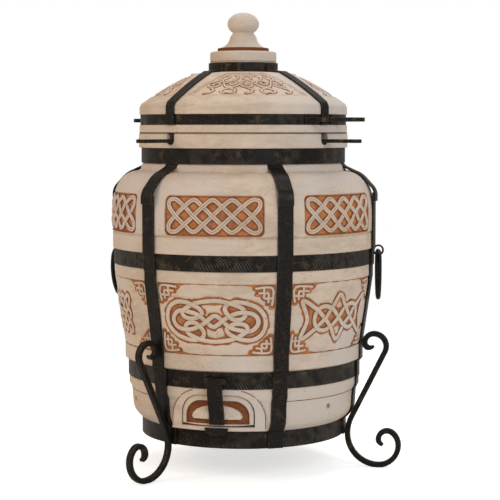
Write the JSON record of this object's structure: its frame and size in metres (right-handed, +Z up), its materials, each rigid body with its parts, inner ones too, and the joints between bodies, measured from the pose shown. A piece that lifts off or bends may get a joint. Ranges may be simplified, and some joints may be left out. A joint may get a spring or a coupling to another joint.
{
  "type": "clay tandoor oven",
  "caption": "Free-standing clay tandoor oven on forged scrolled legs, with a lift-off domed lid, a smoke cap, a hinged ash vent, a fire grate and a skewer rack.",
  "frame": {"origin": "on the vessel's axis at floor level, in the middle of the circle on which the legs stand", "axes": "+Z up along the vessel's axis, -Y towards the front, where the ash vent is, +X to the right seen from the front"},
  "size_m": [0.6892, 0.6428, 1.0343],
  "materials": {
    "engobe_clay": "matt cream engobe over orange fired clay",
    "forged_iron": "blackened forged iron, waxed, worn brown on the edges",
    "grate_iron": "bare cast iron",
    "plain_steel": "dark hot-rolled bar",
    "rope": "heat-proof ceramic rope"
  },
  "bodies": {
    "oven": {"ash_vessel": "engobe_clay", "floor_tile": "engobe_clay", "grate_ledge": "engobe_clay", "lower_vessel": "engobe_clay", "upper_vessel": "engobe_clay", "joint_rope": "rope", "vent_pin": "forged_iron", "vent_lugs": "forged_iron", "vent_rest": "forged_iron", "base_hoop": "forged_iron", "lower_hoop": "forged_iron", "belly_hoop": "forged_iron", "neck_hoop": "forged_iron", "base_cross": "forged_iron", "ring_eye_left": "forged_iron", "ring_eye_right": "forged_iron", "body_strap_1": "forged_iron", "body_strap_2": "forged_iron", "body_strap_3": "forged_iron", "body_strap_4": "forged_iron", "body_strap_5": "forged_iron", "body_strap_6": "forged_iron", "shoulder_strap_1": "forged_iron", "shoulder_strap_2": "forged_iron", "shoulder_strap_3": "forged_iron", "shoulder_strap_4": "forged_iron", "shoulder_strap_5": "forged_iron", "shoulder_strap_6": "forged_iron", "leg_1": "forged_iron", "leg_2": "forged_iron", "leg_3": "forged_iron"},
    "lid": {"lid_shell": "engobe_clay", "lid_hoop": "forged_iron", "collar_hoop": "forged_iron", "handle_rivets": "forged_iron", "lid_handle_left": "forged_iron", "lid_handle_right": "forged_iron", "lid_strap_1": "forged_iron", "lid_strap_2": "forged_iron", "lid_strap_3": "forged_iron", "lid_strap_4": "forged_iron"},
    "cap": {"cap": "engobe_clay"},
    "rack": {"skewer_rack": "plain_steel"},
    "grate": {"grate": "grate_iron"},
    "ring_left": {"carry_ring_left": "forged_iron"},
    "ring_right": {"carry_ring_right": "forged_iron"},
    "vent_flap": {"vent_door": "engobe_clay", "vent_strap": "forged_iron", "vent_rivet": "forged_iron"}
  },
  "joints": [
    {"name": "lid_lift", "type": "slide", "parent": "oven", "child": "lid", "axis": [0, 0, 1], "range_m": [0, 0.4]},
    {"name": "cap_lift", "type": "slide", "parent": "lid", "child": "cap", "axis": [0, 0, 1], "range_m": [0, 0.12]},
    {"name": "rack_lift", "type": "slide", "parent": "oven", "child": "rack", "axis": [0, 0, 1], "range_m": [0, 0.2]},
    {"name": "grate_lift", "type": "slide", "parent": "oven", "child": "grate", "axis": [0, 0, 1], "range_m": [0, 0.45]},
    {"name": "vent_hinge", "type": "hinge", "parent": "oven", "child": "vent_flap", "pos_m": [0, -0.274, 0.2295], "axis": [-1, 0, 0], "range_deg": [0, 95]},
    {"name": "ring_left_swing", "type": "hinge", "parent": "oven", "child": "ring_left", "pos_m": [-0.30868, 0.0379, 0.4893], "axis": [0.1219, 0.9925, 0], "range_deg": [0, 100]},
    {"name": "ring_right_swing", "type": "hinge", "parent": "oven", "child": "ring_right", "pos_m": [0.3042, 0.06466, 0.4893], "axis": [0.2079, -0.9781, 0], "range_deg": [0, 100]}
  ],
  "couplings": [
    {"joint": "rack_lift", "follows": "lid_lift", "ratio": 0.5}
  ]
}
